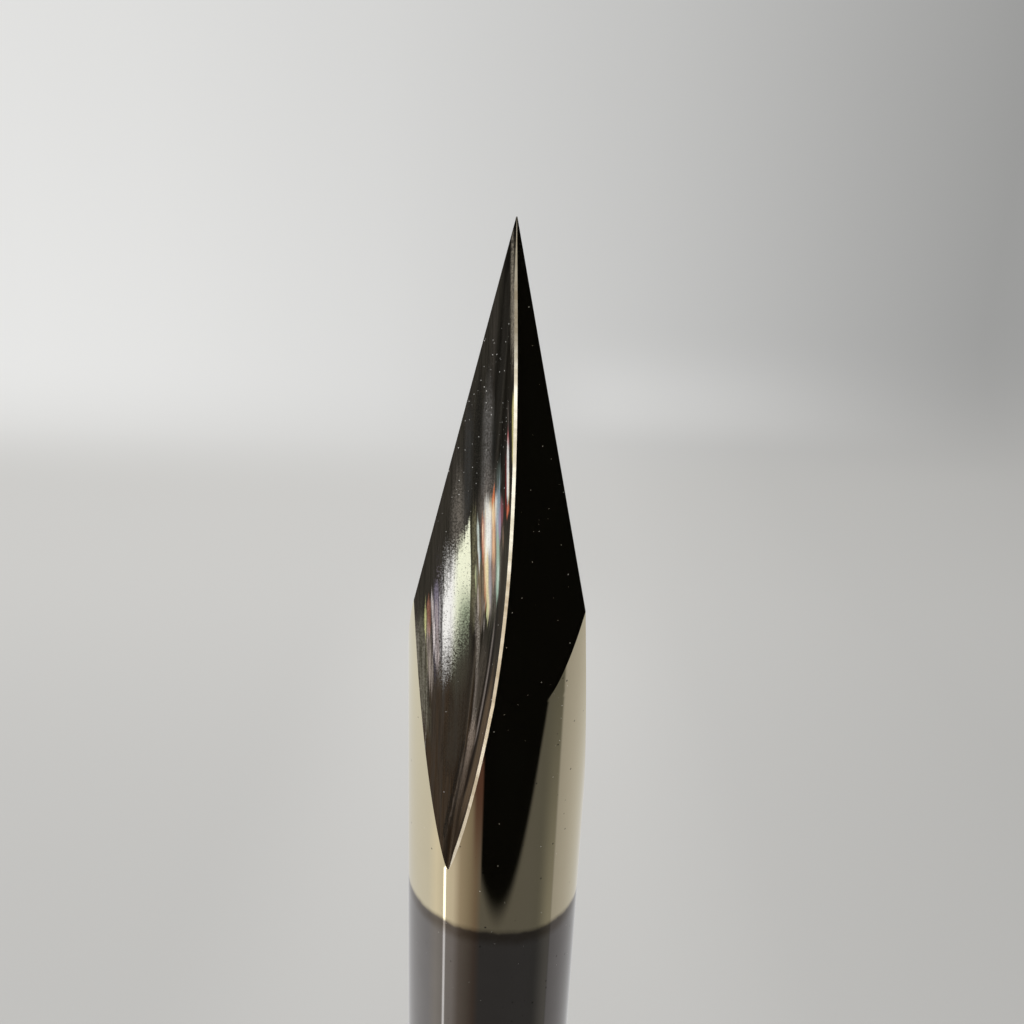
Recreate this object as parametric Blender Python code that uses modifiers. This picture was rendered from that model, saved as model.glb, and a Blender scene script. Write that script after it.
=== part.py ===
"""V groove router bit, ground from one bar of solid carbide.

The bit stands on its shank end: the origin is the centre of that face and +Z runs up the axis to
the tip. Turns about the axis are measured from the front (-Y) towards +X. Depths are measured down
the axis from the sharp point that the cutting edges aim at, a little above the flat of the tip.

Three flutes run from the tip and lift out on the shank. Each leaves a straight cutting edge on its
leading side and a heel on its trailing side, whose corner is broken by a narrow flat. Behind every
edge the tooth is relieved, so that only the edge itself lies on the 30 degree cone.
"""
from math import cos, hypot, pi, radians, sin, sqrt, tan

import bmesh
import bpy
from mathutils import Vector

# The bar
SHANK_DIAMETER = 0.00635
OVERALL_LENGTH = 0.0508
SHANK_CHAMFER = 0.0004
COATING_PAST_FLUTES = 0.00245

# The point and its teeth
INCLUDED_ANGLE = radians(30.0)
TIP_FLAT_DIAMETER = 0.00004
TOOTH_COUNT = 3
FIRST_EDGE_TURN = radians(-64.1)
RELIEF_DROP = 0.187
RELIEF_SPAN = radians(30.0)
RELIEF_FALL = 1.5

# The flutes
FLUTE_PAST_SHOULDER = 0.00939
EDGE_TO_ROOT_TURN = radians(35.1)
WEB_SHARE_AT_TIP = 0.307
ROOT_RADIUS = 0.00016
ROOT_WALL = radians(54.5)
ROOT_TO_HEEL_TURN = radians(41.2)
HEEL_CLOSING = 2.2
HEEL_ROUNDING = 0.8
HEEL_HELD_SHARE = 0.985
HEEL_BREAK = 0.00014
HEEL_BREAK_SHARE = 0.45
LAND_EASING = 0.00005

# How far the cutters reach past what they cut, as shares of the size there
CUTTER_START = 0.4
CUTTER_OVERRUN = 1.05
CUTTER_HALF_WIDTH = 1.8
CUTTER_HEIGHT = 3.0
RELIEF_LEAD = radians(3.0)
RELIEF_GAP = radians(20.0)

# Smoothness of the faceted solid
BAR_SEGMENTS = 120
RELIEF_STEP = radians(2.5)
FLUTE_STATIONS = 32
STATION_CROWDING = 1.3
WALL_POINTS = 10
WALL_CROWDING = 3
SHARP_ANGLE = radians(20.0)

# Worked out from the sizes above
SHANK_RADIUS = SHANK_DIAMETER / 2
CONE_SLOPE = tan(INCLUDED_ANGLE / 2)
TIP_DEPTH = TIP_FLAT_DIAMETER / 2 / CONE_SLOPE
SHARP_POINT_Z = OVERALL_LENGTH + TIP_DEPTH
SHOULDER_DEPTH = SHANK_RADIUS / CONE_SLOPE
FLUTE_LENGTH = SHOULDER_DEPTH + FLUTE_PAST_SHOULDER
COAT_Z = SHARP_POINT_Z - FLUTE_LENGTH - COATING_PAST_FLUTES
TOOTH_PITCH = 2 * pi / TOOTH_COUNT
ROOT_SLOPE = WEB_SHARE_AT_TIP * CONE_SLOPE
ROOT_LIFT = (SHANK_RADIUS - ROOT_SLOPE * FLUTE_LENGTH) / FLUTE_LENGTH ** 2
HEEL_HELD_DEPTH = HEEL_HELD_SHARE * FLUTE_LENGTH


def polar(turn, radius, depth):
    """A point at a turn about the axis, a radius from it and a depth below the sharp point."""
    return Vector((radius * sin(turn), -radius * cos(turn), SHARP_POINT_Z - depth))


def clear_scene():
    """Remove the objects of the scene that the script starts in."""
    for item in list(bpy.data.objects):
        bpy.data.objects.remove(item, do_unlink=True)


def new_collection(name):
    """Make a collection and link it to the scene."""
    made = bpy.data.collections.new(name)
    bpy.context.scene.collection.children.link(made)
    return made


def new_material(name, colour, roughness, metallic):
    """Make a Principled material of one colour."""
    made = bpy.data.materials.new(name)
    made.use_nodes = True
    shader = made.node_tree.nodes["Principled BSDF"]
    shader.inputs["Base Color"].default_value = (*colour, 1.0)
    shader.inputs["Roughness"].default_value = roughness
    shader.inputs["Metallic"].default_value = metallic
    made.diffuse_color = (*colour, 1.0)
    return made


def mesh_object(name, bm, collection):
    """Turn a finished bmesh into an object of a collection, with its faces outwards."""
    bmesh.ops.recalc_face_normals(bm, faces=bm.faces)
    mesh = bpy.data.meshes.new(name)
    bm.to_mesh(mesh)
    bm.free()
    made = bpy.data.objects.new(name, mesh)
    collection.objects.link(made)
    return made


def as_cutter(item):
    """Show a cutter as a wire frame and keep it out of the render."""
    item.display_type = "WIRE"
    item.hide_render = True
    return item


def loft(sections):
    """Join rings of points, each a list of the same length, into one closed solid."""
    bm = bmesh.new()
    rings = [[bm.verts.new(point) for point in ring] for ring in sections]
    count = len(rings[0])
    for upper, lower in zip(rings, rings[1:]):
        for i in range(count):
            j = (i + 1) % count
            bm.faces.new((upper[i], upper[j], lower[j], lower[i]))
    bm.faces.new(rings[0])
    bm.faces.new(rings[-1])
    return bm


def turn_bar(collection):
    """Turn the plain bar, with its shank end chamfered and its top cut square."""
    profile = [
        (0.0, OVERALL_LENGTH),
        (SHANK_RADIUS, OVERALL_LENGTH),
        (SHANK_RADIUS, COAT_Z),
        (SHANK_RADIUS, SHANK_CHAMFER),
        (SHANK_RADIUS - SHANK_CHAMFER, 0.0),
        (0.0, 0.0),
    ]
    mesh = bpy.data.meshes.new("router_bit")
    edges = [(i, i + 1) for i in range(len(profile) - 1)]
    mesh.from_pydata([(x, 0.0, z) for x, z in profile], edges, [])
    bar = bpy.data.objects.new("router_bit", mesh)
    collection.objects.link(bar)
    screw = bar.modifiers.new("turn", "SCREW")
    screw.axis = "Z"
    screw.angle = 2 * pi
    screw.steps = BAR_SEGMENTS
    screw.render_steps = BAR_SEGMENTS
    screw.use_merge_vertices = True
    screw.merge_threshold = 0.00001
    return bar


def relief_share(lag):
    """Share of the cone's radius that a tooth keeps at an angle behind its cutting edge."""
    if lag < 0.0:
        return 1.0 - RELIEF_DROP * RELIEF_FALL * lag / RELIEF_SPAN
    left = max(0.0, 1.0 - lag / RELIEF_SPAN)
    return 1.0 - RELIEF_DROP * (1.0 - left ** RELIEF_FALL)


def relieved_outline(depth):
    """Outline of the relieved teeth at a depth, without their flutes.

    Each tooth starts a little ahead of its edge, in the space of the flute, and ends in the
    space of the flute behind it.
    """
    reach = TOOTH_PITCH - RELIEF_GAP
    steps = int(reach / RELIEF_STEP)
    lags = [-RELIEF_LEAD] + [reach * i / steps for i in range(steps + 1)]
    points = []
    for tooth in range(TOOTH_COUNT):
        edge = FIRST_EDGE_TURN - TOOTH_PITCH * tooth
        for lag in lags:
            radius = CONE_SLOPE * depth * relief_share(lag)
            points.append(polar(edge - lag, radius, depth))
    return points


def make_point_envelope(collection):
    """The relieved cone that the bar is ground to, from above the tip to below the shank end."""
    top = TIP_DEPTH * CUTTER_START
    bottom = SHARP_POINT_Z * CUTTER_OVERRUN
    solid = loft([relieved_outline(top), relieved_outline(bottom)])
    return as_cutter(mesh_object("relief_grind", solid, collection))


def root_radius_at(depth):
    """Distance of a flute's root from the axis: an arc that meets the shank's surface."""
    return ROOT_SLOPE * depth + ROOT_LIFT * depth ** 2


def land_radius(depth):
    """Distance of a tooth's land from the axis near its heel, eased from relief to round bar."""
    relieved = CONE_SLOPE * depth * (1.0 - RELIEF_DROP)
    return (relieved + SHANK_RADIUS - hypot(relieved - SHANK_RADIUS, LAND_EASING)) / 2


def heel_turn(depth):
    """Turn from a flute's root to its heel line, which closes towards the run-out."""
    along = min(1.0, depth / FLUTE_LENGTH)
    return ROOT_TO_HEEL_TURN * (1.0 - along ** HEEL_CLOSING) ** HEEL_ROUNDING


def wall_ratio(turn, radius, depth, softness):
    """Width over rise of a flute's wall that passes a point, given by its turn and radius."""
    rise = radius * cos(turn) - root_radius_at(depth)
    return radius * sin(turn) / sqrt(rise ** 2 + 2.0 * rise * softness)


def wall_rise(across, ratio, softness):
    """Rise of a flute's wall above the root at a distance across, rounded at the root."""
    return sqrt(softness ** 2 + (across / ratio) ** 2) - softness


def rake_wall(depth, softness, half_width):
    """Points of the wall that ends in the cutting edge, from outside the bar to the root.

    The wall is set to hold the straight edge down to the shoulder, and keeps its angle from
    there on.
    """
    held = min(depth, SHOULDER_DEPTH)
    ratio = wall_ratio(EDGE_TO_ROOT_TURN, CONE_SLOPE * held, held, softness)
    points = []
    for i in range(WALL_POINTS, -1, -1):
        across = half_width * (i / WALL_POINTS) ** WALL_CROWDING
        points.append(Vector((-across, root_radius_at(depth) + wall_rise(across, ratio, softness))))
    return points


def heel_wall(depth, softness, half_width):
    """Points of the wall that ends in the heel, from next to the root to outside the bar.

    The wall aims at the middle of the narrow flat that breaks the heel's corner. The last point
    lies on that flat, carried on outside the bar. Near the run-out the wall keeps its angle and
    the corner is left whole.
    """
    held = min(depth, HEEL_HELD_DEPTH)
    radius = land_radius(held)
    turn = heel_turn(held)
    width = min(HEEL_BREAK, HEEL_BREAK_SHARE * radius * turn)
    ratio = wall_ratio(turn - width / 2 / radius, radius, held, softness)
    across_end = radius * sin(turn - width / 2 / radius) - width / 2 * ratio / hypot(1.0, ratio)
    points = []
    for i in range(1, WALL_POINTS + 1):
        across = across_end * (i / WALL_POINTS) ** WALL_CROWDING
        points.append(Vector((across, root_radius_at(depth) + wall_rise(across, ratio, softness))))
    ahead = points[-1] - points[-2]
    if depth < HEEL_HELD_DEPTH:
        ahead = Vector((radius * sin(turn), radius * cos(turn))) - points[-1]
    points.append(points[-1] + ahead.normalized() * half_width)
    return points


def flute_section(turn, depth):
    """Section of a flute's cutter: a wide V with a rounded root, closed outside the bar."""
    local_radius = min(CONE_SLOPE * depth, SHANK_RADIUS)
    softness = ROOT_RADIUS / tan(ROOT_WALL) ** 2 * local_radius / SHANK_RADIUS
    half_width = CUTTER_HALF_WIDTH * local_radius
    height = CUTTER_HEIGHT * local_radius
    walls = rake_wall(depth, softness, half_width) + heel_wall(depth, softness, half_width)
    corners = [Vector((half_width, height)), Vector((-half_width, height))]
    sideways = Vector((cos(turn), sin(turn), 0.0))
    return [polar(turn, point.y, depth) + point.x * sideways for point in walls + corners]


def make_flute_cutter(index, collection):
    """The sweep of the wheel that grinds one flute, from above the tip to past its run-out."""
    turn = FIRST_EDGE_TURN + EDGE_TO_ROOT_TURN + TOOTH_PITCH * index
    start = TIP_DEPTH * CUTTER_START
    length = FLUTE_LENGTH * CUTTER_OVERRUN - start
    shares = [(i / FLUTE_STATIONS) ** STATION_CROWDING for i in range(FLUTE_STATIONS + 1)]
    solid = loft([flute_section(turn, start + length * share) for share in shares])
    return as_cutter(mesh_object(f"flute_grind_{index + 1}", solid, collection))


def add_boolean(item, cutter, operation):
    """Grind an object with a cutter."""
    cut = item.modifiers.new(cutter.name, "BOOLEAN")
    cut.operation = operation
    cut.solver = "EXACT"
    cut.object = cutter


def finish(item, coated, bare):
    """Settle the ground shape, coat it down to the coating line and shade it smooth."""
    ground = item.evaluated_get(bpy.context.evaluated_depsgraph_get())
    mesh = bpy.data.meshes.new_from_object(ground)
    item.modifiers.clear()
    item.data = mesh
    mesh.name = item.name
    mesh.materials.clear()
    mesh.materials.append(coated)
    mesh.materials.append(bare)
    for face in mesh.polygons:
        face.material_index = 0 if face.center.z > COAT_Z else 1
    mesh.shade_smooth()
    mesh.set_sharp_from_angle(angle=SHARP_ANGLE)


def main():
    """Turn the bar, grind its point and its flutes, and finish it."""
    clear_scene()
    parts = new_collection("v_groove_router_bit")
    cutters = new_collection("grinding_cutters")
    coated = new_material("pale_gold_coating", (0.68, 0.56, 0.34), 0.16, 1.0)
    bare = new_material("ground_carbide", (0.29, 0.28, 0.28), 0.28, 1.0)
    bit = turn_bar(parts)
    add_boolean(bit, make_point_envelope(cutters), "INTERSECT")
    for index in range(TOOTH_COUNT):
        add_boolean(bit, make_flute_cutter(index, cutters), "DIFFERENCE")
    bpy.context.view_layer.update()
    finish(bit, coated, bare)


main()
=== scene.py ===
"""A V groove router bit of coated solid carbide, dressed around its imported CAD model.

The bit stands on its shank end: the origin is the centre of that face and +Z runs up to the tip.
Turns about the axis are measured from the front (-Y) towards +X. Depths are measured down the axis
from the sharp point that the three cutting edges aim at.
"""
import logging
from dataclasses import dataclass, field
from enum import Enum, IntEnum
from math import asinh, atan2, cos, hypot, pi, radians, sin, sinh, sqrt, tan
from typing import Mapping, Sequence, Union

import bmesh
import bpy
from mathutils import Matrix, Vector


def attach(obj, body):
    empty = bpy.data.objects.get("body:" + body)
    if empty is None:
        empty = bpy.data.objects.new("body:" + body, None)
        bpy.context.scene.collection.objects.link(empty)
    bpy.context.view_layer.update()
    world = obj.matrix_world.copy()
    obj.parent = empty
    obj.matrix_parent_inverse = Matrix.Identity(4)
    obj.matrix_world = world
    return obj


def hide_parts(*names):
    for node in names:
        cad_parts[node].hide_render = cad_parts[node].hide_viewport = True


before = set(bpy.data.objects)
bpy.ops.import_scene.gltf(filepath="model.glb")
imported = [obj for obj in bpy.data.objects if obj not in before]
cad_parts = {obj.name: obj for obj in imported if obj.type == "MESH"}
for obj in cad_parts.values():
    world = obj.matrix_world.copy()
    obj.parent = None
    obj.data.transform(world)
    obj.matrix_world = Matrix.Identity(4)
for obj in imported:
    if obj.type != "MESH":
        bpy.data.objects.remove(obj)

log = logging.getLogger("router_bit_scene")

MM = 0.001
Socket = bpy.types.NodeSocket
Value = Union[Socket, float]
Colour = tuple[float, float, float]
# Where an eased step leaves 0 and where it reaches 1, or the two values that something goes between
Span = tuple[float, float]
# How many features fit in one unit, how many finer layers there are and how strong these are
Noise = tuple[float, float, float]


class Surface(IntEnum):
    """The material slots of the bit, in their order on its mesh."""

    BAR = 0
    FLUTE = 1
    HEEL = 2


# Node building


class NodeDesk:
    """Adds and joins the nodes of one tree."""

    def __init__(self, tree: bpy.types.NodeTree) -> None:
        """Take a node tree to work on and remove its own nodes."""
        self.tree = tree
        tree.nodes.clear()

    def add(self, kind: str, **settings: object) -> bpy.types.Node:
        """Add a node.

        Args:
            kind: The node's type name, without the ShaderNode in front.
            **settings: Values for the node's own properties.

        Returns:
            The new node.
        """
        node = self.tree.nodes.new("ShaderNode" + kind)
        for name, value in settings.items():
            setattr(node, name, value)
        return node

    def feed(self, target: Socket, value: object) -> None:
        """Join a socket to an input, or write a plain value there.

        Args:
            target: The input socket.
            value: A socket, a number, or a colour or vector as a sequence.
        """
        if isinstance(value, bpy.types.NodeSocket):
            self.tree.links.new(value, target)
        elif isinstance(value, (int, float)):
            target.default_value = value
        elif target.type == "RGBA":
            target.default_value = (*value, 1.0)
        else:
            target.default_value = tuple(value)

    def math(self, operation: str, first: Value, second: Value = 0.0, clamp: bool = False) -> Socket:
        """Do a sum on one or two values.

        Args:
            operation: The Math node's operation.
            first: The first value.
            second: The second value.
            clamp: Whether the result stays within 0 and 1.

        Returns:
            The result's socket.
        """
        node = self.add("Math", operation=operation, use_clamp=clamp)
        self.feed(node.inputs[0], first)
        self.feed(node.inputs[1], second)
        return node.outputs[0]

    def step(self, value: Value, low: Value, high: Value) -> Socket:
        """Ease from 0 to 1 as a value goes from low to high.

        Args:
            value: The value looked at.
            low: Where the result leaves 0.
            high: Where the result reaches 1.

        Returns:
            The eased result's socket.
        """
        node = self.add("MapRange", interpolation_type="SMOOTHSTEP")
        self.feed(node.inputs["Value"], value)
        self.feed(node.inputs["From Min"], low)
        self.feed(node.inputs["From Max"], high)
        return node.outputs["Result"]

    def fades(self, value: Value, spans: Sequence[Span]) -> list[Socket]:
        """Ease along each of several spans of one value."""
        return [self.step(value, low, high) for low, high in spans]

    def chain(self, operation: str, values: Sequence[Value]) -> Value:
        """Join several values by one operation.

        Args:
            operation: The Math node's operation.
            values: The values in order.

        Returns:
            The result's socket.
        """
        result = values[0]
        for value in values[1:]:
            result = self.math(operation, result, value)
        return result

    def times(self, *values: Value) -> Value:
        """Multiply several values."""
        return self.chain("MULTIPLY", values)

    def plus(self, *values: Value) -> Value:
        """Add several values."""
        return self.chain("ADD", values)

    def minus(self, first: Value, second: Value) -> Socket:
        """Take the second value from the first."""
        return self.math("SUBTRACT", first, second)

    def swing(self, noise: Socket, size: float) -> Socket:
        """Turn noise about 0.5 into a swing about 0 of a given size."""
        return self.times(self.minus(noise, 0.5), size)

    def mix(self, share: Value, first: object, second: object, blend: str = "MIX") -> Socket:
        """Mix two colours.

        Args:
            share: How much of the second colour shows.
            first: The first colour or its socket.
            second: The second colour or its socket.
            blend: The Mix node's blend type.

        Returns:
            The mixed colour's socket.
        """
        node = self.add("Mix", data_type="RGBA", blend_type=blend, clamp_factor=True)
        self.feed(node.inputs["Factor"], share)
        self.feed(node.inputs[6], first)
        self.feed(node.inputs[7], second)
        return node.outputs[2]

    def between(self, share: Value, first: Value, second: Value) -> Socket:
        """Go between two numbers.

        Args:
            share: How far towards the second number.
            first: The number at 0.
            second: The number at 1.

        Returns:
            The result's socket.
        """
        node = self.add("Mix", data_type="FLOAT", clamp_factor=True)
        self.feed(node.inputs["Factor"], share)
        self.feed(node.inputs[2], first)
        self.feed(node.inputs[3], second)
        return node.outputs[0]

    def shaded(self, colour: Socket, mask: Value, tones: Span) -> Socket:
        """Multiply a colour by one tone off a mask and by another on it."""
        tone = self.between(mask, *tones)
        return self.mix(1.0, colour, self.vector(tone, tone, tone), "MULTIPLY")

    def ramp(self, value: Value, stops: Sequence[tuple[float, Colour]]) -> Socket:
        """Look a value up in a row of colours.

        Args:
            value: The value, from 0 to 1.
            stops: The places and colours along the row.

        Returns:
            The colour's socket.
        """
        node = self.add("ValToRGB")
        elements = node.color_ramp.elements
        while len(elements) < len(stops):
            elements.new(0.5)
        for element, (place, colour) in zip(elements, stops):
            element.position = place
            element.color = (*colour, 1.0)
        self.feed(node.inputs["Fac"], value)
        return node.outputs["Color"]

    def vector(self, x: Value, y: Value, z: Value) -> Socket:
        """Put three values together as a vector."""
        node = self.add("CombineXYZ")
        for target, value in zip(node.inputs, (x, y, z)):
            self.feed(target, value)
        return node.outputs[0]

    def attribute(self, name: str) -> Socket:
        """Read a number that the mesh carries at its points."""
        return self.add("Attribute", attribute_name=name).outputs["Fac"]

    def object_place(self, unit: float = 1.0) -> Socket:
        """Read the place on the object, through a Mapping node.

        Args:
            unit: The unit of the result in metres.

        Returns:
            The place's socket.
        """
        mapping = self.add("Mapping")
        self.feed(mapping.inputs["Vector"], self.add("TexCoord").outputs["Object"])
        mapping.inputs["Scale"].default_value = (1.0 / unit,) * 3
        return mapping.outputs["Vector"]

    def axes(self, vector: Socket) -> Mapping[str, Socket]:
        """Take a place or a direction apart.

        Args:
            vector: The place or direction.

        Returns:
            Its X, Y and Z.
        """
        node = self.add("SeparateXYZ")
        self.feed(node.inputs[0], vector)
        return node.outputs

    def noise(self, vector: Socket, scale: float, detail: float, rough: float) -> Socket:
        """Take smooth noise at a place.

        Args:
            vector: The place.
            scale: How many features fit in one unit.
            detail: How many finer layers are added.
            rough: How strong those layers are.

        Returns:
            The noise value's socket, about 0.5 on average.
        """
        node = self.add("TexNoise")
        self.feed(node.inputs["Vector"], vector)
        node.inputs["Scale"].default_value = scale
        node.inputs["Detail"].default_value = detail
        node.inputs["Roughness"].default_value = rough
        return node.outputs["Fac"]


@dataclass(frozen=True)
class Effect:
    """A shader node group that several finishes use, with one value as its result."""

    name: str
    gives: str
    takes: tuple[str, ...]

    def build(self) -> bpy.types.NodeTree:
        """Find the group, or make it with its sockets and nodes.

        Returns:
            The group.
        """
        found = bpy.data.node_groups.get(self.name)
        if found:
            return found
        made = bpy.data.node_groups.new(self.name, "ShaderNodeTree")
        for label in self.takes:
            kind = "NodeSocketVector" if label == "Vector" else "NodeSocketFloat"
            made.interface.new_socket(label, in_out="INPUT", socket_type=kind)
        made.interface.new_socket(self.gives, in_out="OUTPUT", socket_type="NodeSocketFloat")
        desk = NodeDesk(made)
        start = made.nodes.new("NodeGroupInput")
        end = made.nodes.new("NodeGroupOutput")
        desk.feed(end.inputs[self.gives], self.fill(desk, start.outputs))
        return made

    def place(self, desk: NodeDesk, **values: object) -> Socket:
        """Put the group into a material.

        Args:
            desk: The desk of the material's tree.
            **values: A value or socket for each input.

        Returns:
            The group's result.
        """
        node = desk.add("Group")
        node.node_tree = self.build()
        for label, value in values.items():
            desk.feed(node.inputs[label], value)
        return node.outputs[0]

    def fill(self, desk: NodeDesk, given: Mapping[str, Socket]) -> Socket:
        """Make the group's nodes from its inputs and return its result; each effect has its own."""
        raise NotImplementedError


@dataclass(frozen=True)
class Specks(Effect):
    """Sparse small spots, such as dust on the surface or pits in it."""

    name: str = "sparse_specks"
    gives: str = "Mask"
    takes: tuple[str, ...] = ("Vector", "Cells", "Kept", "Size")
    smallest: float = 0.45
    faintest: float = 0.3
    core: float = 0.6

    def fill(self, desk: NodeDesk, given: Mapping[str, Socket]) -> Socket:
        """Keep a share of the cells of a Voronoi pattern and mark a spot in each.

        Args:
            desk: The desk of the group's tree.
            given: The place, the cells in one unit, the share kept and a spot's size in a cell.

        Returns:
            The spots' mask.
        """
        cells = desk.add("TexVoronoi")
        desk.feed(cells.inputs["Vector"], given["Vector"])
        desk.feed(cells.inputs["Scale"], given["Cells"])
        draw = desk.add("SeparateColor")
        desk.feed(draw.inputs[0], cells.outputs["Color"])
        kept = desk.math("LESS_THAN", draw.outputs[0], given["Kept"])
        reach = desk.times(given["Size"], desk.between(draw.outputs[1], self.smallest, 1.0))
        near = desk.step(cells.outputs["Distance"], reach, desk.times(reach, self.core))
        return desk.times(near, kept, desk.between(draw.outputs[2], self.faintest, 1.0))


@dataclass(frozen=True)
class Lines(Effect):
    """Fine lines that a grinding wheel leaves, which run along the second coordinate."""

    name: str = "grinding_lines"
    gives: str = "Lines"
    takes: tuple[str, ...] = ("Across", "Along", "Count", "Length", "Seed")
    noise: Noise = (1.0, 3.0, 0.65)

    def fill(self, desk: NodeDesk, given: Mapping[str, Socket]) -> Socket:
        """Stretch noise along the lines.

        Args:
            desk: The desk of the group's tree.
            given: The two coordinates, the lines in one unit, their length and a seed.

        Returns:
            The lines, about 0.5 on average.
        """
        across = desk.times(given["Across"], given["Count"])
        along = desk.math("DIVIDE", given["Along"], given["Length"])
        place = desk.vector(across, along, given["Seed"])
        return desk.noise(place, *self.noise)


SPECKS = Specks()
LINES = Lines()


def new_material(name: str) -> tuple[bpy.types.Material, NodeDesk, bpy.types.Node]:
    """Make a material with a Principled shader and nothing else.

    Args:
        name: The material's name.

    Returns:
        The material, the desk of its tree and its Principled node.
    """
    made = bpy.data.materials.new(name)
    made.use_nodes = True
    desk = NodeDesk(made.node_tree)
    shader = desk.add("BsdfPrincipled")
    output = desk.add("OutputMaterial")
    desk.feed(output.inputs["Surface"], shader.outputs[0])
    return made, desk, shader


# The bit's shape


def grow(bm: bmesh.types.BMesh, edges: list) -> tuple[list, list]:
    """Extrude edges on the spot.

    Args:
        bm: The mesh.
        edges: The edges, at the mesh's border.

    Returns:
        The new edges, without those between old and new points, and the new points.
    """
    grown = bmesh.ops.extrude_edge_only(bm, edges=edges)["geom"]
    kinds = (bmesh.types.BMEdge, bmesh.types.BMVert)
    return tuple([item for item in grown if isinstance(item, kind)] for kind in kinds)


def new_object(name: str, bm: bmesh.types.BMesh) -> bpy.types.Object:
    """Turn a mesh under work into a smooth object of the scene.

    Args:
        name: The name of the object and its mesh.
        bm: The mesh, which is freed.

    Returns:
        The object.
    """
    mesh = bpy.data.meshes.new(name)
    bm.to_mesh(mesh)
    bm.free()
    mesh.shade_smooth()
    made = bpy.data.objects.new(name, mesh)
    bpy.context.scene.collection.objects.link(made)
    return made


@dataclass(frozen=True)
class BarSizes:
    """The bar that the bit is ground from."""

    diameter: float = 6.35 * MM
    length: float = 50.8 * MM
    chamfer: float = 0.4 * MM
    coating_past_flutes: float = 2.45 * MM

    @property
    def radius(self) -> float:
        """Half the bar's diameter."""
        return self.diameter / 2


@dataclass(frozen=True)
class PointSizes:
    """The relieved point with its three teeth."""

    included_angle: float = radians(30.0)
    tip_flat: float = 0.04 * MM
    teeth: int = 3
    first_edge_turn: float = radians(-64.1)
    relief_drop: float = 0.187
    relief_span: float = radians(30.0)
    relief_fall: float = 1.5

    @property
    def slope(self) -> float:
        """Radius of the cone for each metre below its sharp point."""
        return tan(self.included_angle / 2)

    @property
    def tip_depth(self) -> float:
        """Depth of the tip's flat below the sharp point."""
        return self.tip_flat / 2 / self.slope

    @property
    def pitch(self) -> float:
        """Angle from tooth to tooth."""
        return 2 * pi / self.teeth

    def share(self, lag: float) -> float:
        """Share of the cone's radius that is left at an angle behind the cutting edge.

        Args:
            lag: The angle behind the edge, less than 0 ahead of it.

        Returns:
            The share.
        """
        if lag < 0.0:
            return 1.0 - self.relief_drop * self.relief_fall * lag / self.relief_span
        left = max(0.0, 1.0 - lag / self.relief_span)
        return 1.0 - self.relief_drop * (1.0 - left ** self.relief_fall)

    def lag_at_share(self, share: float) -> float:
        """Angle behind the edge where a share of the radius is left.

        Args:
            share: The share, up to 1.

        Returns:
            The angle, the relief's whole span where it never falls that far.
        """
        left = 1.0 - (1.0 - share) / self.relief_drop
        if left <= 0.0:
            return self.relief_span
        return self.relief_span * (1.0 - left ** (1.0 / self.relief_fall))


@dataclass(frozen=True)
class FluteSizes:
    """The flutes that lift out of the bar behind the point."""

    past_shoulder: float = 9.39 * MM
    edge_to_root: float = radians(35.1)
    web_share: float = 0.307
    root_radius: float = 0.16 * MM
    root_wall: float = radians(54.5)
    heel_turn: float = radians(41.2)
    heel_power: float = 2.2
    heel_rounding: float = 0.8
    held_share: float = 0.985
    radius_blend: float = 0.05 * MM
    break_width: float = 0.14 * MM
    break_share: float = 0.45
    bend_start: float = -0.25
    bend_span: float = 0.55


@dataclass(frozen=True)
class RingPoint:
    """One point of a section, with what its finish needs to know."""

    place: Vector
    across: float
    line: float


@dataclass(frozen=True)
class MeshFineness:
    """How many stretches each part of a section and of the length is given, and how it is cleaned."""

    rake: int = 24
    heel: int = 24
    edge_break: int = 2
    relief: int = 26
    round_land: int = 22
    stations: int = 150
    shank_rings: int = 8
    shank_start: float = 0.05 * MM
    search_reach: float = 1.8
    halvings: int = 48
    weld: float = 2e-8
    sliver: float = 1e-8
    sharp_angle: float = radians(10.5)


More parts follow.
